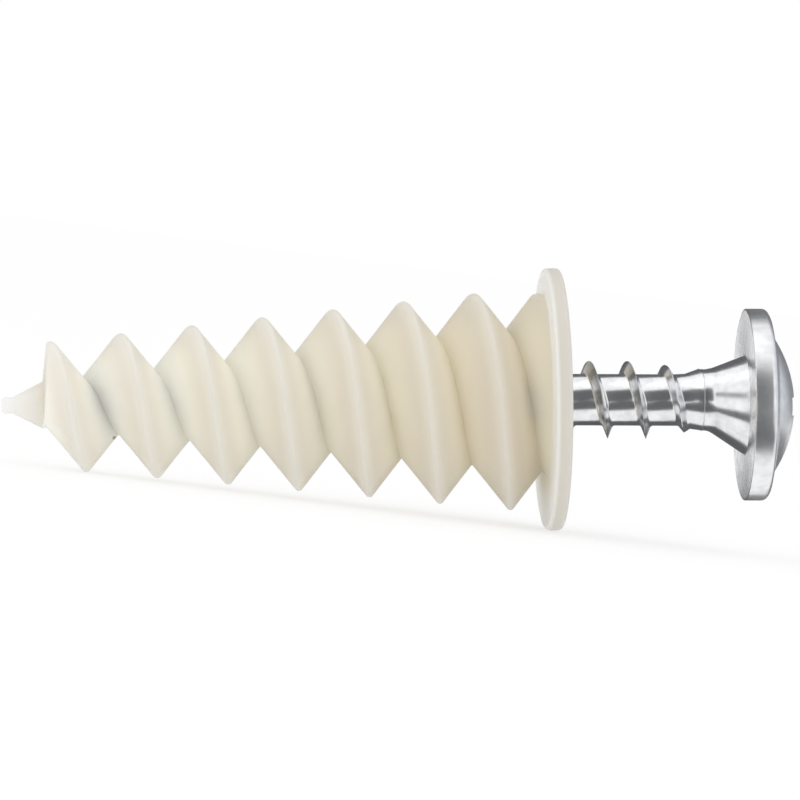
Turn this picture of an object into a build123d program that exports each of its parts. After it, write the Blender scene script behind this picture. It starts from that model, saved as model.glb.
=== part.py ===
from build123d import *
from math import atan, atan2, cos, degrees, radians, tan
import os

# A self-drilling wall plug for plasterboard with its screw part-way in, lying on its side.
# Millimetres and degrees. Both pieces are first made upright about one axis, with +Z from the
# plug's tip to the screw's head and z = 0 at the outer face of the plug's flange. They are laid
# down last, on the flange's rim and the first turn of the plug's thread.

# Plug, drill tip
plug_length = 31.9
pin_diameter = 0.92
pin_length = 0.7
tip_base_diameter = 1.1
tip_length = 1.6
shoulder_diameter = 2.66
shoulder_rake = 6.5

# Plug, coarse thread
plug_pitch = 4.04
plug_thread_depth = 2.28
plug_crest_land = 0.24
plug_taper_angle = 5.84
first_crest_radius = 3.58
first_root_distance = 6.62

# Plug, flange and driver recess
flange_diameter = 15.0
flange_thickness = 0.92
flange_edge_chamfer = 0.25
slot_length = 6.6
slot_width = 1.6
slot_depth = 2.6

# Screw, shank and thread
screw_length = 30.0
core_diameter = 2.95
thread_diameter = 4.5
blank_diameter = 3.5
blank_length = 0.7
blank_step_length = 0.75
screw_pitch = 2.2
screw_flank_angle = 20.0
runout_angle = 14.0
point_length = 5.0
point_diameter = 0.5
point_trim_angle = 18.0
first_crest_rise = 2.83

# Screw, head
neck_diameter = 5.7
neck_half_angle = 27.5
neck_blend_radius = 1.4
head_diameter = 11.0
rim_thickness = 1.3
rim_edge_chamfer = 0.35
dome_diameter = 8.2
dome_base_rise = 0.2
dome_height = 1.32
cross_length = 4.8
cross_floor_length = 2.0
cross_width = 1.1
cross_depth = 2.1

# How the two go together
standoff = 10.7
thread_clearance = 0.05
entry_clearance = 0.25
pilot_diameter = 1.8
pilot_end_distance = 1.8

# How far pieces of one solid run into each other before they are fused
lap = 0.3

# Places along the axis
tip_z = -plug_length
shoulder_z = tip_z + pin_length + tip_length
point_z = standoff - screw_length
core_z = point_z + point_length
neck_z = standoff - (neck_diameter - blank_diameter) / 2 / tan(radians(neck_half_angle))
blank_z = neck_z - blank_length
runout_z = blank_z - blank_step_length
rim_z = standoff + rim_thickness
dome_z = rim_z + dome_base_rise

plug_flank = (plug_pitch - plug_crest_land) / 2 / plug_thread_depth
taper = tan(radians(plug_taper_angle))
rake = tan(radians(shoulder_rake))
screw_flank = tan(radians(screw_flank_angle))
point_angle = degrees(atan((core_diameter - point_diameter) / 2 / point_length))


def crest_radius(z):
    """Radius of the cone on which the crests of the plug's thread lie."""
    return first_crest_radius + (z - shoulder_z) * taper


def wound_bar(corners, pitch, height, cone_angle=0.0):
    """A bar wound about Z, from over +X. Its section is the polygon with these corners, each
    (radius, z), and its sides are the ruled faces between the helices through the corners."""
    rails = [
        Edge.make_helix(pitch / cos(radians(cone_angle)), height, radius, (0, 0, z), angle=cone_angle)
        for radius, z in corners
    ]
    sides = [Face.make_surface_from_curves(a, b) for a, b in zip(rails, rails[1:] + rails[:1])]
    ends = [Face(Wire.make_polygon([rail @ end for rail in rails])) for end in (0, 1)]
    return Solid(Shell(sides + ends))


def plug_groove():
    """The V groove between the turns of the plug's thread, which starts ahead of the shoulder
    and runs out past the flange. Its outer corners follow the crest cone, just outside it."""
    start_z = tip_z + first_root_distance - 2 * plug_pitch
    end_z = plug_pitch
    rise = plug_thread_depth + lap / 10
    head_side = rise / (1 / plug_flank - taper)
    tip_side = rise / (1 / plug_flank + taper)
    root = crest_radius(start_z) - plug_thread_depth
    corners = [
        (root, start_z),
        (root + head_side / plug_flank, start_z + head_side),
        (root + tip_side / plug_flank, start_z - tip_side),
    ]
    return wound_bar(corners, plug_pitch, end_z - start_z, plug_taper_angle)


def screw_thread(extra=0.0):
    """The screw's thread, on its point and on its shank, or with extra the room that it needs
    in the plug. It is wound at full height and then trimmed where it runs out."""
    base = core_diameter / 2 - lap / 2
    crest = thread_diameter / 2 + extra
    half_base = (crest - base) * screw_flank + extra
    section = [(base, -half_base), (crest, 0), (base, half_base)]
    drop = (core_diameter - point_diameter) / 2
    with BuildPart() as thread:
        for start_z, height, inset, cone_angle in (
            (core_z, blank_z - core_z, 0.0, 0.0),
            (point_z, point_length, drop, point_angle),
        ):
            corners = [(radius - inset, start_z + rise) for radius, rise in section]
            with Locations(Rotation(0, 0, 360 * (start_z - first_crest_rise) / screw_pitch)):
                add(wound_bar(corners, screw_pitch, height, cone_angle))
        with BuildSketch(Plane.XZ):
            with BuildLine():
                point_radius = point_diameter / 2 + extra
                runout_radius = blank_diameter / 2 + extra
                clear = crest + lap
                Polyline(
                    (0, point_z),
                    (point_radius, point_z),
                    (clear, point_z + (clear - point_radius) / tan(radians(point_trim_angle))),
                    (clear, runout_z - (clear - runout_radius) / tan(radians(runout_angle))),
                    (runout_radius, runout_z),
                    (0, runout_z),
                    close=True,
                )
            make_face()
        revolve(axis=Axis.Z, mode=Mode.INTERSECT)
    return thread.part


# What is taken out of the plug
with BuildPart() as hollow:
    # The groove that the screw has formed, from its point up to the driver slots
    add(screw_thread(thread_clearance))
    with BuildSketch(Plane.XY.offset(lap - slot_depth)):
        Circle(thread_diameter)
    extrude(amount=-plug_length, mode=Mode.INTERSECT)
    # The bore, opened up to the screw's core as far as the point wedges it, then as moulded
    with BuildSketch(Plane.XZ):
        with BuildLine():
            core_radius = core_diameter / 2 + thread_clearance
            pilot_radius = pilot_diameter / 2
            pilot_z = core_z - (core_radius - pilot_radius) / tan(radians(point_angle))
            pilot_end_z = shoulder_z + pilot_end_distance
            Polyline(
                (0, -lap),
                (core_radius, -lap),
                (core_radius, pilot_z),
                (pilot_radius, pilot_z),
                (pilot_radius, pilot_end_z),
                (0, pilot_end_z),
                close=True,
            )
        make_face()
    revolve(axis=Axis.Z)
    # The mouth that the thread passes freely, and the cross slots for a screwdriver bit
    with BuildSketch(Plane.XY.offset(lap)):
        Circle(thread_diameter / 2 + entry_clearance)
        Rectangle(slot_length, slot_width)
        Rectangle(slot_width, slot_length)
    extrude(amount=-slot_depth - lap)


with BuildPart() as plug_upright:
    # The cone that the thread is cut from, with its steep shoulder behind the drill tip
    with BuildSketch(Plane.XZ):
        with BuildLine():
            shoulder_top_z = shoulder_z + (first_crest_radius - shoulder_diameter / 2) * rake
            Polyline(
                (0, shoulder_z),
                (shoulder_diameter / 2, shoulder_z),
                (crest_radius(shoulder_top_z), shoulder_top_z),
                (crest_radius(lap - flange_thickness), lap - flange_thickness),
                (0, lap - flange_thickness),
                close=True,
            )
        make_face()
    revolve(axis=Axis.Z)
    add(plug_groove(), mode=Mode.SUBTRACT)
    # The drill tip with its centring pin
    with BuildSketch(Plane.XZ):
        with BuildLine():
            Polyline(
                (0, tip_z),
                (pin_diameter / 2, tip_z),
                (pin_diameter / 2, tip_z + pin_length),
                (tip_base_diameter / 2, tip_z + pin_length),
                (shoulder_diameter / 2, shoulder_z),
                (0, shoulder_z + lap),
                close=True,
            )
        make_face()
    revolve(axis=Axis.Z)
    # The flange that stops on the board's face
    with BuildSketch(Plane.XZ) as flange_profile:
        with Locations((0, -flange_thickness)):
            Rectangle(flange_diameter / 2, flange_thickness, align=(Align.MIN, Align.MIN))
        chamfer(flange_profile.vertices().group_by(Axis.X)[-1], flange_edge_chamfer)
    revolve(axis=Axis.Z)
    add(hollow.part, mode=Mode.SUBTRACT)


with BuildPart() as screw_upright:
    # Point, core, blank shank, conical neck, flat rim and dome, turned as one profile
    with BuildSketch(Plane.XZ) as screw_profile:
        with BuildLine():
            Polyline(
                (0, point_z),
                (point_diameter / 2, point_z),
                (core_diameter / 2, core_z),
                (core_diameter / 2, runout_z),
                (blank_diameter / 2, blank_z),
                (blank_diameter / 2, neck_z),
                (neck_diameter / 2, standoff),
                (head_diameter / 2, standoff),
                (head_diameter / 2, rim_z),
                (dome_diameter / 2, dome_z),
            )
            dome_radius = ((dome_diameter / 2) ** 2 + dome_height**2) / 2 / dome_height
            RadiusArc((dome_diameter / 2, dome_z), (0, dome_z + dome_height), -dome_radius)
            Line((0, dome_z + dome_height), (0, point_z))
        make_face()
        chamfer(screw_profile.vertices().group_by(Axis.X)[-1], rim_edge_chamfer)
        neck_root = screw_profile.vertices().sort_by_distance((blank_diameter / 2, neck_z))[0]
        fillet(neck_root, neck_blend_radius)
    revolve(axis=Axis.Z)
    add(screw_thread())
    # The cross recess in the dome: two crossed slots with sloping ends
    crown_z = dome_z + dome_height
    for cross_plane in (Plane.XZ, Plane.YZ):
        with BuildSketch(cross_plane):
            with BuildLine():
                Polyline(
                    (-cross_floor_length / 2, crown_z - cross_depth),
                    (cross_floor_length / 2, crown_z - cross_depth),
                    (cross_length / 2, crown_z),
                    (-cross_length / 2, crown_z),
                    close=True,
                )
            make_face()
        extrude(amount=cross_width / 2, both=True, mode=Mode.SUBTRACT)


# The plug lies on the edge of its flange and, near its tip, on the first crest under it, at the
# crest's corner nearer the tip.
crest_z = tip_z + first_root_distance - plug_pitch + plug_thread_depth / (1 / plug_flank - taper)
edge_z = flange_edge_chamfer - flange_thickness
tilt = degrees(atan2(flange_diameter / 2 - crest_radius(crest_z), edge_z - crest_z))
laid = Location((0, 0, 0), (0, 90 - tilt, 0))
extent = Compound([plug_upright.part, screw_upright.part]).moved(laid).bounding_box()
rest_pose = Location((-extent.center().X, 0, -extent.min.Z), (0, 90 - tilt, 0))

with BuildPart() as plug:
    with Locations(rest_pose):
        add(plug_upright.part)
plug.part.label = "plug"

with BuildPart() as screw:
    with Locations(rest_pose):
        add(screw_upright.part)
screw.part.label = "screw"

os.makedirs("parts", exist_ok=True)
export_step(plug.part, "parts/plug.step")
export_step(screw.part, "parts/screw.step")
print(f"tilt {tilt:.2f} degrees, length {extent.size.X:.2f}, height {extent.size.Z:.2f} mm")
print(f"rest pose {rest_pose}")
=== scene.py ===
# %% [markdown]
# # A wall plug with its screw
# This lesson dresses one small fixing: a self-drilling plug for plasterboard, moulded in ivory
# nylon, with a zinc-plated screw turned part of the way in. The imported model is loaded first. It
# fixes where everything is, and every piece made here takes the place of one of its solids.

# %% Load the frame
from math import atan, atan2, cos, degrees, radians, sin, tan

import bpy
import numpy as np
from mathutils import Matrix, Vector


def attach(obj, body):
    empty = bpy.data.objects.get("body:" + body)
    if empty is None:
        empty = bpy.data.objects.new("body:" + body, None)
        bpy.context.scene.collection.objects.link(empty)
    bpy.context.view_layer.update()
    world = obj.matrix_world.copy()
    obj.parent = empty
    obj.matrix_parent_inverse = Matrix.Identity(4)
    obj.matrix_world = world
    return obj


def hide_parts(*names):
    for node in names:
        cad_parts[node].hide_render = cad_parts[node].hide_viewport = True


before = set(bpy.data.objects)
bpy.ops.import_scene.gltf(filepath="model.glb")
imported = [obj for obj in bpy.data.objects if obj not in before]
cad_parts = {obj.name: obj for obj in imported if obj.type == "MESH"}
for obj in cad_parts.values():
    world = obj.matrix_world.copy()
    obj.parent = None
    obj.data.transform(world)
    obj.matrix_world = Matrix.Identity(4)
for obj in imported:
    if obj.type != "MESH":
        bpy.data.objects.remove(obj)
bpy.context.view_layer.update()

print("solids:", ", ".join(sorted(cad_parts)))

# %% [markdown]
# ## Sizes
# The sizes are those of the solids, in millimetres, except that the plug's thread is 0.14 mm
# deeper here, which brings the outline of its roots nearer. Heights run along the fixing's axis,
# from the plug's tip up to the screw's head, and are zero at the outer face of the plug's flange.
# The two pieces are made standing up on that axis and laid down at the end, as the solids were.

# %% Sizes of the plug
mm = 0.001
plug_length = 31.9
pin_radius, pin_length = 0.46, 0.7
tip_base_radius, tip_length = 0.55, 1.6
shoulder_radius, shoulder_rake = 1.33, tan(radians(6.5))
plug_pitch, plug_depth, plug_land = 4.04, 2.42, 0.24
plug_taper = tan(radians(5.84))
first_crest_radius = 3.58
first_root_distance = 6.62
flange_radius, flange_thickness = 7.5, 0.92
slot_length, slot_width, slot_depth = 6.6, 1.6, 2.6

tip_height = -plug_length
shoulder_height = tip_height + pin_length + tip_length
print("the plug's shoulder is at", round(shoulder_height, 2), "mm")

# %% Sizes of the screw
screw_length, standoff = 30.0, 10.7
core_radius, thread_radius, blank_radius = 1.475, 2.25, 1.75
blank_length, blank_step_length = 0.7, 0.75
screw_pitch, screw_flank = 2.2, tan(radians(20))
first_crest_height = 2.83
point_length, point_radius = 5.0, 0.25
point_trim, runout = tan(radians(18)), tan(radians(14))
neck_radius, neck_slope, neck_blend = 2.85, tan(radians(27.5)), 1.4
head_radius, rim_thickness = 5.5, 1.3
dome_radius, dome_base_rise, dome_height = 4.1, 0.2, 1.32
cross_length, cross_floor_length, cross_width, cross_depth = 4.8, 2.0, 1.1, 2.1

point_height = standoff - screw_length
core_height = point_height + point_length
neck_height = standoff - (neck_radius - blank_radius) / neck_slope
blank_height = neck_height - blank_length
runout_height = blank_height - blank_step_length
crown_height = standoff + rim_thickness + dome_base_rise + dome_height
print("the screw runs from", round(point_height, 2), "to", round(crown_height, 2), "mm")

# %% [markdown]
# ## A lathe
# Both pieces are round about their axis, so most of their forms are turned. On a real lathe a
# tool follows an outline. Here a flat disc is extruded upwards and scaled at each point of the
# outline, which leaves neat rings of faces and closes both ends.

# %% The lathe
def edit(piece, mode="VERT"):
    """Opens one piece in edit mode with nothing else selected."""
    bpy.ops.object.select_all(action="DESELECT")
    piece.select_set(True)
    bpy.context.view_layer.objects.active = piece
    bpy.ops.object.mode_set(mode="EDIT")
    bpy.ops.mesh.select_mode(type=mode)
    bpy.ops.mesh.select_all(action="SELECT")


def close_edit():
    """Turns every face outwards and leaves edit mode."""
    bpy.ops.mesh.select_all(action="SELECT")
    bpy.ops.mesh.remove_doubles(threshold=0.0005 * mm)
    bpy.ops.mesh.normals_make_consistent(inside=False)
    bpy.ops.object.mode_set(mode="OBJECT")


def follow(outline):
    """Extrudes the selected ring along an outline of (radius, height), from its first point."""
    for (radius, height), (next_radius, next_height) in zip(outline, outline[1:]):
        ratio = next_radius / radius
        bpy.ops.mesh.extrude_region_move(
            TRANSFORM_OT_translate={"value": (0, 0, (next_height - height) * mm)}
        )
        bpy.ops.transform.resize(value=(ratio, ratio, 1), center_override=(0, 0, next_height * mm))


def turned(name, outline, sides=160):
    """A closed solid turned about the axis, from an outline of (radius, height) in mm. A ring
    has to have some size, so an outline starts and ends just off the axis."""
    radius, height = outline[0]
    bpy.ops.object.select_all(action="DESELECT")
    bpy.ops.mesh.primitive_circle_add(vertices=sides, radius=radius * mm, fill_type="NGON")
    piece = bpy.context.object
    piece.name = name
    piece.location.z = height * mm
    bpy.ops.object.transform_apply(location=True, rotation=True, scale=True)
    edit(piece)
    follow(outline)
    close_edit()
    print(name, "has", len(piece.data.polygons), "faces")
    return piece


def arc(centre, radius, start, end, steps):
    """Points on an arc in an outline, between two angles in degrees from straight outwards."""
    angles = [radians(start + (end - start) * step / steps) for step in range(steps + 1)]
    return [(centre[0] + radius * cos(angle), centre[1] + radius * sin(angle)) for angle in angles]


# %% [markdown]
# ## A thread
# A thread is one pitch of its outline, wound about the axis while it climbs by that pitch. The
# outline is drawn by extruding a single corner point, its corners are rounded as a mould or a
# rolling die leaves them, and a Screw modifier winds it. What comes out is an open tube, so it is
# cut square at both ends and closed there.

# %% Winding a thread
def wound(name, outline, corners, pitch, turns, steps=120):
    """A tube with a thread on it. The outline is (radius, height) over one pitch, and corners
    gives a rounding, in mm, for each of its points but the two ends."""
    bpy.ops.object.select_all(action="DESELECT")
    bpy.ops.mesh.primitive_plane_add(size=mm)
    piece = bpy.context.object
    piece.name = name
    edit(piece)
    bpy.ops.mesh.merge(type="CENTER")
    bpy.ops.transform.translate(value=(outline[0][0] * mm, 0, outline[0][1] * mm))
    for (radius, height), (next_radius, next_height) in zip(outline, outline[1:]):
        move = ((next_radius - radius) * mm, 0, (next_height - height) * mm)
        bpy.ops.mesh.extrude_vertices_move(TRANSFORM_OT_translate={"value": move})
    for (radius, height), rounding in zip(outline[1:-1], corners):
        bpy.ops.mesh.select_all(action="DESELECT")
        bpy.ops.object.mode_set(mode="OBJECT")
        corner = Vector((radius * mm, 0, height * mm))
        nearest = min(piece.data.vertices, key=lambda vertex: (vertex.co - corner).length)
        nearest.select = True
        bpy.ops.object.mode_set(mode="EDIT")
        bpy.ops.mesh.bevel(offset=rounding * mm, segments=3, affect="VERTICES")
    bpy.ops.object.mode_set(mode="OBJECT")
    winding = piece.modifiers.new("winding", "SCREW")
    winding.axis = "Z"
    winding.screw_offset = pitch * mm
    winding.iterations = turns
    winding.steps = winding.render_steps = steps
    bpy.ops.object.modifier_apply(modifier=winding.name)
    edit(piece)
    close_edit()
    return piece


def set_radii(piece, rule):
    """Moves each vertex straight out or in, to the radius that rule(radius, height) gives in mm."""
    places = np.empty(len(piece.data.vertices) * 3)
    piece.data.vertices.foreach_get("co", places)
    x, y, z = places.reshape(-1, 3).T
    radius = np.hypot(x, y)
    ratio = rule(radius / mm, z / mm) * mm / radius
    piece.data.vertices.foreach_set("co", np.column_stack((x * ratio, y * ratio, z)).ravel())


def cut_square(piece, height, keep_above, close=True):
    """Cuts a piece across its axis, and closes the cut when close is set."""
    edit(piece)
    bpy.ops.mesh.bisect(
        plane_co=(0, 0, height * mm), plane_no=(0, 0, -1 if keep_above else 1),
        use_fill=close, clear_outer=True, threshold=1e-7,
    )
    bpy.ops.object.mode_set(mode="OBJECT")


def combine(piece, tool, operation):
    """Joins the tool to the piece, cuts it away, or keeps only what both fill."""
    joint = piece.modifiers.new("combine", "BOOLEAN")
    joint.operation = operation
    joint.solver = "EXACT"
    joint.object = tool
    bpy.ops.object.select_all(action="DESELECT")
    piece.select_set(True)
    bpy.context.view_layer.objects.active = piece
    bpy.ops.object.modifier_apply(modifier=joint.name)
    bpy.data.objects.remove(tool)


# %% [markdown]
# ## The plug
# The plug's thread is a deep V between thin crests, and crests and roots all lie on one taper.
# It is wound on a straight core and then opened out towards the flange by moving each point
# along its own radius, which keeps every flank true. The tube is made longer than the thread, so
# that both its ends can be cut off.

# %% The plug's thread
corner_rounding = 0.1
flank = (plug_pitch - plug_land) / 2 / plug_depth
head_side = plug_depth / (1 / flank - plug_taper)
tip_side = plug_depth / (1 / flank + plug_taper)
root_radius = first_crest_radius - plug_depth
start_root = tip_height + first_root_distance - 3 * plug_pitch
plug_outline = [
    (root_radius + plug_depth / 2, start_root + head_side / 2),
    (first_crest_radius, start_root + head_side),
    (first_crest_radius, start_root + plug_pitch - tip_side),
    (root_radius, start_root + plug_pitch),
    (root_radius + plug_depth / 2, start_root + plug_pitch + head_side / 2),
]
roundings = (corner_rounding,) * 3
plug = wound("plug_moulding", plug_outline, roundings, plug_pitch, turns=10, steps=144)


def on_taper(radius, height):
    """Opens the thread out with the plug's taper."""
    return radius + (height - shoulder_height) * plug_taper


set_radii(plug, on_taper)
below_shoulder, into_flange = 0.2, 0.3
cut_square(plug, shoulder_height - below_shoulder, keep_above=True)
cut_square(plug, into_flange - flange_thickness, keep_above=False)
print("thread:", len(plug.data.polygons), "faces")

# %% [markdown]
# A steep cone behind the tip trims the thread's start, and just before the flange the crest is
# trimmed to a smaller radius, because that is how the real one looks. One turned tool does both:
# only what it shares with the thread is kept. The cone leaves one thin sliver of the thread
# hanging beside the tip, over +X, and that is drawn in to the core.

# %% The shoulder, and where the thread ends
reach = 9.0  # wider than the thread
thread_end_radius, thread_end = 6.05, -1.5
shoulder = turned("shoulder", [
    (0.01, shoulder_height),
    (shoulder_radius, shoulder_height),
    (reach, shoulder_height + (reach - shoulder_radius) * shoulder_rake),
    (reach, thread_end),
    (thread_end_radius, thread_end),
    (thread_end_radius, 1.0),
    (0.01, 1.0),
], sides=288)
combine(plug, shoulder, "INTERSECT")
trim_start, trim_slope, trim_top, trim_sector = 0.05, 1.2, 1.5, 0.6
for vertex in plug.data.vertices:
    x, y, z = vertex.co / mm
    rise = z - shoulder_height
    radius = max(shoulder_radius, shoulder_radius + (rise - trim_start) * trim_slope)
    beside_tip = x > abs(y) * trim_sector and rise < trim_top
    if beside_tip and x * x + y * y > radius * radius:
        ratio = radius / float(np.hypot(x, y))
        vertex.co.x, vertex.co.y = x * ratio * mm, y * ratio * mm
print("thread behind the shoulder:", len(plug.data.polygons), "faces")

# %% [markdown]
# The drill tip is a short cone with a centring pin, and the flange is a thin disc with softened
# edges. Both are turned and joined to the thread, so the plug is one skin, as a moulding is.

# %% The tip and the flange
pin_softening = 0.1
tip = turned("tip", [
    (0.02, tip_height),
    (pin_radius - pin_softening, tip_height),
    (pin_radius, tip_height + pin_softening),
    (pin_radius, tip_height + pin_length - 0.05),
    (pin_radius + 0.04, tip_height + pin_length),
    (tip_base_radius, tip_height + pin_length + 0.06),
    (shoulder_radius - 0.04, shoulder_height - 0.09),
    (shoulder_radius, shoulder_height),
    (shoulder_radius - 0.15, shoulder_height + 0.25),
    (0.02, shoulder_height + 0.3),
], sides=96)
combine(plug, tip, "UNION")

rim_softening = 0.22
flat_radius = flange_radius - rim_softening
flange = turned("flange", [
    (0.02, -flange_thickness),
    (flat_radius - 0.1, -flange_thickness),
    *arc((flat_radius, -flange_thickness + rim_softening), rim_softening, -90, 0, 4),
    *arc((flat_radius, -rim_softening), rim_softening, 0, 90, 4),
    (flat_radius - 0.1, 0),
    (0.02, 0),
], sides=240)
combine(plug, flange, "UNION")
print("plug:", len(plug.data.polygons), "faces")

# %% [markdown]
# The flange's face has a cross slot for the driver bit, with the mouth of the bore in its
# middle. They are cut with a turned tool and two blocks.

# %% The bore and the driver slots
bore_clearance, mouth_clearance = 0.05, 0.25
tool_rise = 0.5  # how far each cutting tool stands out of the face
bore_radius, pilot_radius = core_radius + bore_clearance, 0.9
mouth_radius = thread_radius + mouth_clearance
point_slope = (core_radius - point_radius) / point_length
pilot_height = core_height - (bore_radius - pilot_radius) / point_slope
bore_end = shoulder_height + 1.8
bore = turned("bore", [
    (0.02, bore_end),
    (pilot_radius, bore_end),
    (pilot_radius, pilot_height),
    (bore_radius, pilot_height),
    (bore_radius, -slot_depth),
    (mouth_radius, -slot_depth),
    (mouth_radius, tool_rise),
    (0.02, tool_rise),
], sides=96)
combine(plug, bore, "DIFFERENCE")
for width, depth in ((slot_length, slot_width), (slot_width, slot_length)):
    bpy.ops.object.select_all(action="DESELECT")
    bpy.ops.mesh.primitive_cube_add(
        size=mm,
        location=(0, 0, (tool_rise - slot_depth) / 2 * mm),
        scale=(width, depth, slot_depth + tool_rise),
    )
    combine(plug, bpy.context.object, "DIFFERENCE")
print("plug with its bore:", len(plug.data.polygons), "faces")

# %% [markdown]
# ## The screw
# The shank is one wound tube from the point to the plain part under the head. A rule on its
# radii makes the point's cone, trims the thread there, fades it out below the head to a low step
# and leaves the plain part. The head then grows from the tube's open end, ring by ring.

# %% The screw's shank
half_base = (thread_radius - core_radius) * screw_flank
foot_rounding, crest_rounding = 0.12, 0.05
thread_end_height, thread_end_rise, thread_end_fade = 8.15, 0.1, 0.2
tube_height = 8.18
start_crest = first_crest_height - 12 * screw_pitch
screw_outline = [
    (core_radius, start_crest - screw_pitch / 2),
    (core_radius, start_crest - half_base),
    (thread_radius, start_crest),
    (core_radius, start_crest + half_base),
    (core_radius, start_crest + screw_pitch / 2),
]
roundings = (foot_rounding, crest_rounding, foot_rounding)
screw = wound("screw_steel", screw_outline, roundings, screw_pitch, turns=16, steps=144)


def on_shank(radius, height):
    """The shank's own radius at each height, and the thread on it as far as it is trimmed."""
    body = np.interp(
        height,
        (point_height, core_height, runout_height, blank_height),
        (point_radius, core_radius, core_radius, blank_radius),
    )
    step = np.clip((thread_end_height - height) / thread_end_fade, 0, 1) * thread_end_rise
    fading = np.maximum(blank_radius + (runout_height - height) * runout, blank_radius + step)
    trimmed = np.minimum(point_radius + (height - point_height) * point_trim, fading)
    return np.maximum(body, np.minimum(body + radius - core_radius, trimmed))


set_radii(screw, on_shank)
cut_square(screw, point_height, keep_above=True)
cut_square(screw, tube_height, keep_above=False, close=False)
print("shank:", len(screw.data.polygons), "faces")

# %% [markdown]
# The outline of the head starts with a low ring where the thread's step ends. It then runs from
# the plain shank through a hollow blend into the neck's cone, out under the head, round the rim
# and over the dome. Extruding the tube's own edge keeps shank and head one skin.

# %% The head
# The blend touches the shank below the corner and the cone above it
turn_angle = atan(neck_slope)
blend_reach = neck_blend * tan(turn_angle / 2)
blend_centre = (blank_radius + neck_blend, neck_height - blend_reach)
ring_radius, ring_start, ring_end = blank_radius + 0.03, tube_height + 0.015, tube_height + 0.035
rim_rounding, edge_rounding = 0.36, 0.05
rim_height = standoff + rim_thickness
dome_base = rim_height + dome_base_rise
sphere_radius = (dome_radius**2 + dome_height**2) / 2 / dome_height
dome_angle = degrees(atan2(sphere_radius - dome_height, dome_radius))
head_outline = [
    (blank_radius, tube_height),
    (ring_radius, ring_start),
    (ring_radius, ring_end),
    *arc(blend_centre, neck_blend, 180, 180 - degrees(turn_angle), 8),
    (neck_radius - 0.1, standoff - 0.1 / neck_slope),
    (neck_radius - 0.02, standoff - 0.02),
    (neck_radius + 0.12, standoff),
    (head_radius - edge_rounding - 0.1, standoff),
    *arc((head_radius - edge_rounding, standoff + edge_rounding), edge_rounding, -90, 0, 3),
    *arc((head_radius - rim_rounding, rim_height - rim_rounding), rim_rounding, 0, 84, 6),
    (dome_radius + 0.25, dome_base - 0.03),
    *arc((0, crown_height - sphere_radius), sphere_radius, dome_angle, 89.8, 24),
]
edit(screw, "EDGE")
bpy.ops.mesh.select_all(action="DESELECT")
bpy.ops.object.mode_set(mode="OBJECT")
top, nearness = tube_height * mm, 0.002 * mm
heights = [vertex.co.z for vertex in screw.data.vertices]
for edge in screw.data.edges:
    edge.select = all(abs(heights[end] - top) < nearness for end in edge.vertices)
bpy.ops.object.mode_set(mode="EDIT")
follow(head_outline)
bpy.ops.mesh.edge_face_add()
close_edit()
print("screw:", len(screw.data.polygons), "faces")

# %% [markdown]
# A head like this is struck on the end of a wire, and on the real screw it sits a little off the
# shank's axis. Everything above the plain shank is pushed over, more and more up to the head.

# %% The head's set
head_offset = 0.3
for vertex in screw.data.vertices:
    share = (vertex.co.z / mm - neck_height) / (standoff - neck_height)
    vertex.co.x += min(max(share, 0), 1) * head_offset * mm
print("the head sits", head_offset, "mm off the axis")

# %% [markdown]
# The head's cross recess narrows downwards. Each of its two slots is a block whose lower face is
# drawn in.

# %% The cross recess
block_rise = 0.4  # how far each block stands out of the dome
end_narrowing, side_narrowing = cross_floor_length / cross_length, 0.85
for turn in (0, 90):
    bpy.ops.object.select_all(action="DESELECT")
    bpy.ops.mesh.primitive_cube_add(size=mm)
    slot = bpy.context.object
    slot.scale = (cross_length, cross_width, cross_depth + block_rise)
    slot.location = (head_offset * mm, 0, (crown_height - (cross_depth - block_rise) / 2) * mm)
    slot.rotation_euler.z = radians(turn)
    edit(slot, "FACE")
    bpy.ops.mesh.select_all(action="DESELECT")
    bpy.ops.object.mode_set(mode="OBJECT")
    for face in slot.data.polygons:
        face.select = face.normal.z < -0.9
    bpy.ops.object.mode_set(mode="EDIT")
    along_slot = (end_narrowing, side_narrowing, 1)
    across_slot = (side_narrowing, end_narrowing, 1)
    bpy.ops.transform.resize(value=along_slot if turn == 0 else across_slot)
    bpy.ops.object.mode_set(mode="OBJECT")
    bpy.ops.object.transform_apply(location=True, rotation=True, scale=True)
    combine(screw, slot, "DIFFERENCE")
print("screw with its recess:", len(screw.data.polygons), "faces")

# %% [markdown]
# ## What the finishes need to know
# The real plug's deep roots look nearly as bright as its crests and a little warmer, probably
# because light comes through the thin flanks. The finish paints that light into the roots as a
# paler, warmer colour, so it needs to know where the roots are. Two numbers are kept at each vertex
# while
# the plug still stands upright: how deep it lies below the crests, and how far along the axis. Two
# more on the screw tell the head from the shank, and how far out on the thread a point is. All four
# are simple to measure only while both stand up.

# %% Depth and distance along the axis
def remember(piece, name, values):
    """Keeps one number for each vertex."""
    attribute = piece.data.attributes.new(name, "FLOAT", "POINT")
    attribute.data.foreach_set("value", values.astype(np.float32))


def upright(piece):
    """Radius and height of each vertex, in mm."""
    places = np.empty(len(piece.data.vertices) * 3)
    piece.data.vertices.foreach_get("co", places)
    x, y, z = places.reshape(-1, 3).T / mm
    return np.hypot(x, y), z


radius, height = upright(plug)
crest = on_taper(first_crest_radius, height)
depth = np.clip((crest - radius) / plug_depth, 0, 1)
in_thread = (height > shoulder_height) & (height < 0.01 - flange_thickness)
remember(plug, "depth", np.where(in_thread, depth, 0))
remember(plug, "along", np.clip((height - tip_height) / plug_length, 0, 1))
radius, height = upright(screw)
reach_out = np.clip((radius - core_radius) / (thread_radius - core_radius), 0, 1)
on_screw_shank = height < standoff - 1
remember(screw, "head", np.clip((height - standoff + 0.1) / 0.2, 0, 1))
remember(screw, "edge", np.where(on_screw_shank, reach_out, 0))
print("mean depth:", round(float(depth.mean()), 3))

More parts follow.
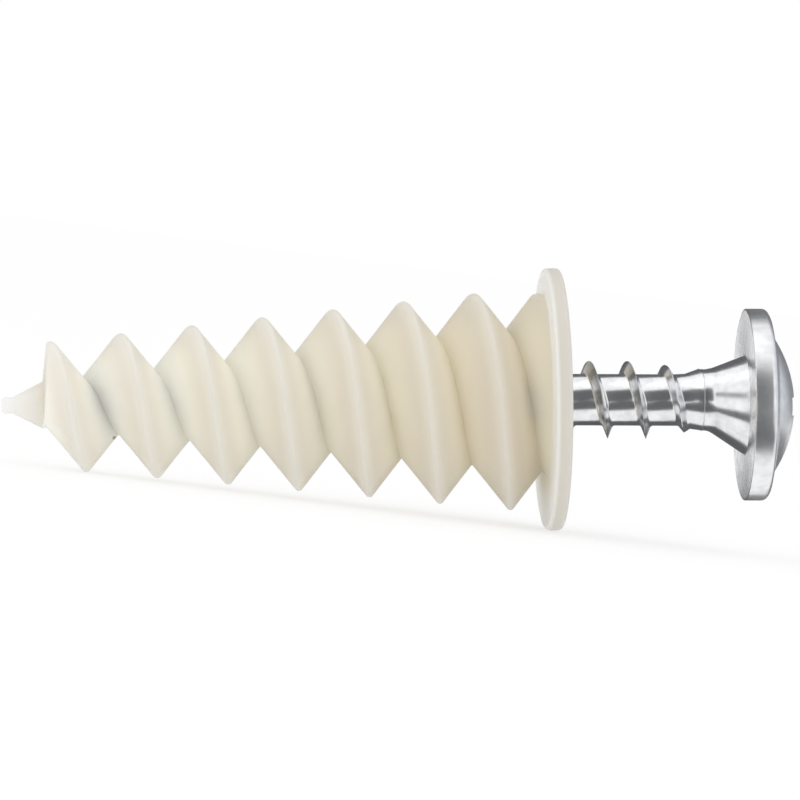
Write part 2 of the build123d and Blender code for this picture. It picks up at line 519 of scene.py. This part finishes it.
# %% [markdown]
# ## Laying the fixing down
# The fixing lies on the flange's edge and on a crest near the tip, so its axis climbs a little
# towards the head. Both pieces are tilted and moved, and that place is written into their
# meshes. The screw isn't held quite true by the soft nylon: it leans a little in its bore. Wide
# flat faces with many corners are kept out of the smooth shading, which would streak them.

# %% Laying down
axis_climb = 7.88226113
flange_centre = (9.112295, 0.0, 7.521093)
tilt = Matrix.Rotation(radians(90 - axis_climb), 4, "Y")
laid = Matrix.Translation(Vector(flange_centre) * mm) @ tilt
screw_lean, lean_height, lean_sink = 0.9, -1.0, 0.07
lean = (
    Matrix.Translation((0, 0, (lean_height - lean_sink) * mm))
    @ Matrix.Rotation(radians(screw_lean), 4, "Y")
    @ Matrix.Translation((0, 0, -lean_height * mm))
)
smooth_below, most_corners = 32, 8
for piece, place in ((plug, laid), (screw, laid @ lean)):
    piece.matrix_world = place
    bpy.ops.object.select_all(action="DESELECT")
    piece.select_set(True)
    bpy.context.view_layer.objects.active = piece
    bpy.ops.object.transform_apply(location=True, rotation=True, scale=True)
    bpy.ops.object.shade_smooth_by_angle(angle=radians(smooth_below))
    for face in piece.data.polygons:
        face.use_smooth = face.use_smooth and len(face.vertices) <= most_corners
    print(piece.name, "lies down")

# %% [markdown]
# ## Shader sums
# Shader maths reads best as plain sums. This class holds one output socket, and an operator on
# it adds the Math node. Every other node comes from its one method.

# %% Sockets as numbers
class Wire:
    """One output socket, which can be added, subtracted and multiplied like a number."""

    def __init__(self, tree, socket=None):
        self.tree = tree
        self.socket = socket

    def node(self, kind, settings=None, inputs=None, output=0):
        """Adds a node, sets it, feeds its inputs with numbers or wires and returns one output."""
        made = self.tree.nodes.new(kind)
        for name, value in (settings or {}).items():
            setattr(made, name, value)
        for name, value in (inputs or {}).items():
            if isinstance(value, Wire):
                self.tree.links.new(value.socket, made.inputs[name])
            else:
                made.inputs[name].default_value = value
        return Wire(self.tree, made.outputs[output])

    def sum(self, operation, first, second):
        return self.node("ShaderNodeMath", {"operation": operation}, {0: first, 1: second})

    def __add__(self, other):
        return self.sum("ADD", self, other)

    __radd__ = __add__

    def __sub__(self, other):
        return self.sum("SUBTRACT", self, other)

    def __rsub__(self, other):
        return self.sum("SUBTRACT", other, self)

    def __mul__(self, other):
        return self.sum("MULTIPLY", self, other)

    __rmul__ = __mul__

    def between(self, low, high):
        """0 below low, 1 above high, and smooth between them."""
        return self.node(
            "ShaderNodeMapRange", {"interpolation_type": "SMOOTHSTEP"},
            {"Value": self, "From Min": low, "From Max": high},
        )


def mixed(factor, first, second):
    """A colour between two colours, each a wire or red, green, blue and 1."""
    return factor.node(
        "ShaderNodeMix", {"data_type": "RGBA"}, {"Factor": factor, 6: first, 7: second}, output=2
    )


def finish(name, **constants):
    """A new material: its shader node and a wire to build on. Constants go on the shader itself."""
    material = bpy.data.materials.new(name)
    material.use_nodes = True
    shader = material.node_tree.nodes["Principled BSDF"]
    for socket, value in constants.items():
        shader.inputs[socket.replace("_", " ")].default_value = value
    return material, shader, Wire(material.node_tree)


# %% [markdown]
# ## Nylon
# Unfilled nylon is milky: light enters it, scatters and comes back warmer. Transmission through
# a cloudy volume would be the other way to make it. Subsurface scattering is simpler, and the light
# it doesn't carry into the grooves is painted: the roots get a paler, warmer colour of their own as
# painted light. The flange's tip side is painted paler than its rim, painted light on the face and
# painted shade on the rim, and a thin line of painted shade runs along the crests. Crests and roots
# are darker and warmer towards the flange. The skin is satin, with the faint waviness of a
# moulding, and there is one small dark speck near the tip.

# %% Nylon
nylon, shader, start = finish(
    "nylon_ivory", Subsurface_Weight=1.0, Subsurface_Radius=(1.0, 0.97, 0.91),
    Subsurface_Scale=6.0 * mm, IOR=1.5, Specular_IOR_Level=0.25,
)
depth = start.node("ShaderNodeAttribute", {"attribute_name": "depth"}, output="Fac")
along = start.node("ShaderNodeAttribute", {"attribute_name": "along"}, output="Fac")
place = start.node("ShaderNodeTexCoord", output="Object")
cloud = start.node("ShaderNodeTexNoise", inputs={"Vector": place, "Scale": 420.0, "Detail": 3.0})
grain = start.node("ShaderNodeTexNoise", inputs={"Vector": place, "Scale": 5200.0, "Detail": 2.0})
crest_by_tip, crest_by_flange = (0.655, 0.62, 0.54, 1), (0.59, 0.54, 0.45, 1)
# Painted light: the root colours are paler than the crests', for light coming through the thin
# flanks
root_painted_light_by_tip, root_painted_light_by_flange = (0.985, 0.935, 0.79, 1), (0.76, 0.69, 0.55, 1)
tip_colour, crest_line_painted_shade = (0.64, 0.62, 0.59, 1), (0.50, 0.50, 0.46, 1)
flange_face_painted_light, flange_rim_painted_shade = (0.72, 0.70, 0.65, 1), (0.46, 0.43, 0.385, 1)
dirt, warm_cloud = (0.08, 0.07, 0.05, 1), (0.60, 0.50, 0.36, 1)
crest = mixed(along.between(0.1, 1.0), crest_by_tip, crest_by_flange)
crest = mixed(along.between(0.0, 0.1), tip_colour, crest)
# Painted light and shade: the flange's tip side is painted paler and its rim darker
crest = mixed(along.between(0.968, 0.971), crest, flange_face_painted_light)
crest = mixed(along.between(0.972, 0.98), crest, flange_rim_painted_shade)
root = mixed(along.between(0.1, 1.0), root_painted_light_by_tip, root_painted_light_by_flange)
skin = mixed(depth.between(0.12, 0.85), crest, root)
# Painted shade: a thin darker line along the crests, which catch more light than the flanks
on_crest = along.between(0.07, 0.1) * (1 - depth.between(0.0, 0.12))
skin = mixed(on_crest * 0.3, skin, crest_line_painted_shade)
# The speck is a spot in the side view, so the distance to it leaves out Y
speck_place, speck_core, speck_edge = (-15.93 * mm, 0, 2.12 * mm), 0.06 * mm, 0.16 * mm
side_view = place.node("ShaderNodeVectorMath", {"operation": "MULTIPLY"}, {0: place, 1: (1, 0, 1)})
off_speck = side_view.node(
    "ShaderNodeVectorMath", {"operation": "DISTANCE"},
    {0: side_view, 1: speck_place}, output="Value",
)
skin = mixed((1 - off_speck.between(speck_core, speck_edge)) * 0.7, skin, dirt)
skin = mixed(cloud.between(0.35, 0.7) * 0.06, skin, warm_cloud)
links = nylon.node_tree.links
links.new(skin.socket, shader.inputs["Base Color"])
links.new((0.42 + cloud * 0.1).socket, shader.inputs["Roughness"])
bump = start.node(
    "ShaderNodeBump", inputs={"Strength": 0.12, "Distance": 0.03 * mm, "Height": grain + cloud * 2}
)
links.new(bump.socket, shader.inputs["Normal"])
plug.data.materials.clear()
plug.data.materials.append(nylon)
print("nylon has", len(nylon.node_tree.nodes), "nodes")

# %% [markdown]
# ## Zinc plating
# Bright zinc plating mirrors its surroundings, slightly blurred. A fine mottle varies its colour,
# roughness and bump. Two choices only serve the look: a painted dark reflection along the thread's
# edges, which would otherwise mirror too much white, and a head that is a little more blurred and
# less wavy than the shank. One metal shader with a few noises is enough, because most of what is
# seen is what the metal mirrors.

# %% Zinc plating
zinc, shader, start = finish("zinc_plating", Metallic=1.0)
place = start.node("ShaderNodeTexCoord", output="Object")
mottle = start.node("ShaderNodeTexNoise", inputs={"Vector": place, "Scale": 1500.0, "Detail": 4.0})
wave = start.node("ShaderNodeTexNoise", inputs={"Vector": place, "Scale": 350.0, "Detail": 2.0})
links = zinc.node_tree.links
bright_zinc, cloudy_zinc = (0.95, 0.955, 0.96, 1), (0.80, 0.81, 0.83, 1)
edge_painted_reflection = (0.22, 0.22, 0.23, 1)
plating = mixed(mottle.between(0.3, 0.75), bright_zinc, cloudy_zinc)
edge = start.node("ShaderNodeAttribute", {"attribute_name": "edge"}, output="Fac")
head = start.node("ShaderNodeAttribute", {"attribute_name": "head"}, output="Fac")
# Painted reflection: the thread's edges are painted darker, for dark surroundings mirrored there
plating = mixed(edge.between(0.35, 0.9) * 0.35, plating, edge_painted_reflection)
links.new(plating.socket, shader.inputs["Base Color"])
links.new((0.14 + mottle * 0.14 + head * 0.14).socket, shader.inputs["Roughness"])
relief = (mottle + wave * 3) * (1 - head * 0.8)
bump = start.node(
    "ShaderNodeBump", inputs={"Strength": 0.25, "Distance": 0.02 * mm, "Height": relief}
)
links.new(bump.socket, shader.inputs["Normal"])
screw.data.materials.clear()
screw.data.materials.append(zinc)
print("zinc has", len(zinc.node_tree.nodes), "nodes")

# %% [markdown]
# ## Joining the frame
# Each finished piece rides on the part's one body and stands for its solid.

# %% Riding on the body
for piece, node, slot_name in ((plug, "plug", "nylon"), (screw, "screw", "zinc_plated_steel")):
    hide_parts(node)
    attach(piece, "root")
    triangles = sum(len(face.vertices) - 2 for face in piece.data.polygons)
    print(piece.name, "has", triangles, "triangles")

# %% [markdown]
# ## The white sheet
# The fixing lies on a white sheet in white surroundings. The sheet gives some light of its own,
# as a light table does, which brightens the grooves from below. Part of it is plain paper, so it
# still takes a faint shadow. It is a little whiter where it is seen, directly or in the metal,
# than in the light that it gives.

# %% The sheet and the surroundings
white_level = 1.06


def see_white(tree, under, seen_share, light_share):
    """Mixes plain white into a surface: one share where it is seen, another in its light."""
    start = Wire(tree)
    path = start.node("ShaderNodeLightPath", output="Is Camera Ray")
    light_path = path.socket.node
    glossy = Wire(tree, light_path.outputs["Is Glossy Ray"])
    clear = Wire(tree, light_path.outputs["Is Transmission Ray"])
    seen = start.sum("MAXIMUM", start.sum("MAXIMUM", path, glossy), clear)
    share = light_share + seen * (seen_share - light_share)
    white = start.node(
        "ShaderNodeEmission", inputs={"Color": (1, 1, 1, 1), "Strength": white_level}
    )
    return start.node("ShaderNodeMixShader", inputs={"Fac": share, 1: under, 2: white})


bpy.ops.object.select_all(action="DESELECT")
bpy.ops.mesh.primitive_plane_add(size=3.0)
floor = bpy.context.object
floor.name = "floor"
sheet, shader, start = finish("white_sheet", Roughness=0.9, Specular_IOR_Level=0.0)
shader.inputs["Base Color"].default_value = (0.86, 0.86, 0.86, 1)
output = sheet.node_tree.nodes["Material Output"]
paper = Wire(sheet.node_tree, shader.outputs["BSDF"])
surface = see_white(sheet.node_tree, paper, seen_share=0.66, light_share=0.55)
sheet.node_tree.links.new(surface.socket, output.inputs["Surface"])
floor.data.materials.append(sheet)

world = bpy.data.worlds.new("studio")
bpy.context.scene.world = world
world.use_nodes = True
background = world.node_tree.nodes["Background"]
background.inputs["Color"].default_value = (1, 1, 1, 1)
background.inputs["Strength"].default_value = 1.0
print("floor and surroundings are white")

# %% [markdown]
# ## Soft lamps
# White surroundings alone light a thing evenly and flatten it. Three weak softboxes, above, at
# the tip's side and in front, give the crests and the flange their form. Their squares would show
# in the metal, so only the top one may be mirrored.

# %% The lamps
def softbox(name, place, aim, size, power, mirrored=True):
    """A square soft lamp in metres and watts, aimed at a point. Mirrored: the metal shows it."""
    data = bpy.data.lights.new(name, "AREA")
    data.shape = "SQUARE"
    data.size = size
    data.energy = power
    lamp = bpy.data.objects.new(name, data)
    lamp.visible_glossy = mirrored
    bpy.context.collection.objects.link(lamp)
    direction = Vector(aim) - Vector(place)
    turn = direction.to_track_quat("-Z", "Y").to_matrix().to_4x4()
    lamp.matrix_world = Matrix.Translation(place) @ turn


softbox("top_light", (-0.12, -0.10, 0.42), (0, 0, 0.005), 0.30, 0.06)
softbox("tip_side_light", (-0.35, -0.25, 0.06), (-0.01, 0, 0.005), 0.22, 0.07, mirrored=False)
softbox("front_light", (0.0, -0.55, 0.05), (-0.01, 0, 0.005), 0.35, 0.28, mirrored=False)
print("three lamps")

# %% [markdown]
# ## Cards for the metal
# Polished metal has hardly a look of its own: it shows the room. A photographer stands black
# cards beside it to draw dark bands on it, and these do the same. Only reflections see them, so
# they take no light from the nylon. The floor cards and skirts carry the bands on where the metal
# mirrors the sheet, and the blue-grey card gives the head's side a cooler tone.

# %% The cards
def card_paint(name, grey):
    """Flat paint of one grey for a card."""
    paint, shader, start = finish(name, Roughness=1.0, Specular_IOR_Level=0.0)
    shader.inputs["Base Color"].default_value = (*grey, 1)
    return paint


def card(name, paint, place, turn, width, height):
    """A card that only reflections see, in metres. It lies flat until it is turned, in degrees."""
    bpy.ops.object.select_all(action="DESELECT")
    bpy.ops.mesh.primitive_plane_add(
        size=1.0, location=place, rotation=[radians(angle) for angle in turn]
    )
    panel = bpy.context.object
    panel.name = name
    panel.scale = (width, height, 1)
    panel.data.materials.append(paint)
    for kind in ("camera", "diffuse", "transmission", "shadow", "volume_scatter"):
        setattr(panel, "visible_" + kind, False)


black = card_paint("black_card", (0.115, 0.118, 0.123))
blue_grey = card_paint("blue_grey_card", (0.68, 0.71, 0.76))
card("front_card", black, (0.0, -0.30, 0.165), (90, 0, 0), 0.32, 0.33)
card("front_floor_card", black, (0.025, -0.154, 0.0001), (0, 0, 0), 0.05, 0.29)
card("back_card", black, (0.10, 0.30, 0.275), (90, 0, 0), 1.0, 0.45)
card("back_left_skirt", black, (-0.20, 0.30, 0.026), (90, 0, 0), 0.40, 0.05)
card("back_right_skirt", black, (0.33, 0.30, 0.026), (90, 0, 0), 0.54, 0.05)
card("back_floor_card", black, (0.05, 0.03035, 0.0001), (0, 0, 0), 0.20, 0.0583)
card("neck_card", black, (-0.292, -0.193, 0.118), (90, 0, -56.6), 0.20, 0.075)
card("side_card", blue_grey, (0.35, 0.10, 0.20), (90, 0, 90), 0.45, 0.39)
print("eight cards")

# %% [markdown]
# ## The camera
# The camera looks at the fixing's side with a long lens, from a little above and a little towards
# the tip, so the flange's tip side shows as a narrow band. It is rolled until the fixing's axis
# is nearly level in the picture. The lens follows from the distance and the width to be seen.

# %% Looking from the side
camera_data = bpy.data.cameras.new("camera")
camera = bpy.data.objects.new("camera", camera_data)
bpy.context.collection.objects.link(camera)
bpy.context.scene.camera = camera
view_yaw, view_elevation, view_roll = 5.0, 1.5, -7.4
distance, view_width = 0.45, 45.71 * mm
aim = Vector((0.0, 0.0, 6.32)) * mm
away = Vector((
    -sin(radians(view_yaw)) * cos(radians(view_elevation)),
    -cos(radians(view_yaw)) * cos(radians(view_elevation)),
    sin(radians(view_elevation)),
))
camera.matrix_world = (
    Matrix.Translation(aim + away * distance)
    @ (-away).to_track_quat("-Z", "Y").to_matrix().to_4x4()
    @ Matrix.Rotation(radians(-view_roll), 4, "Z")
)
camera_data.lens = camera_data.sensor_width * distance / view_width
camera_data.clip_start = 0.01
bpy.context.scene.view_settings.view_transform = "Standard"
print("lens", round(camera_data.lens, 1), "mm")
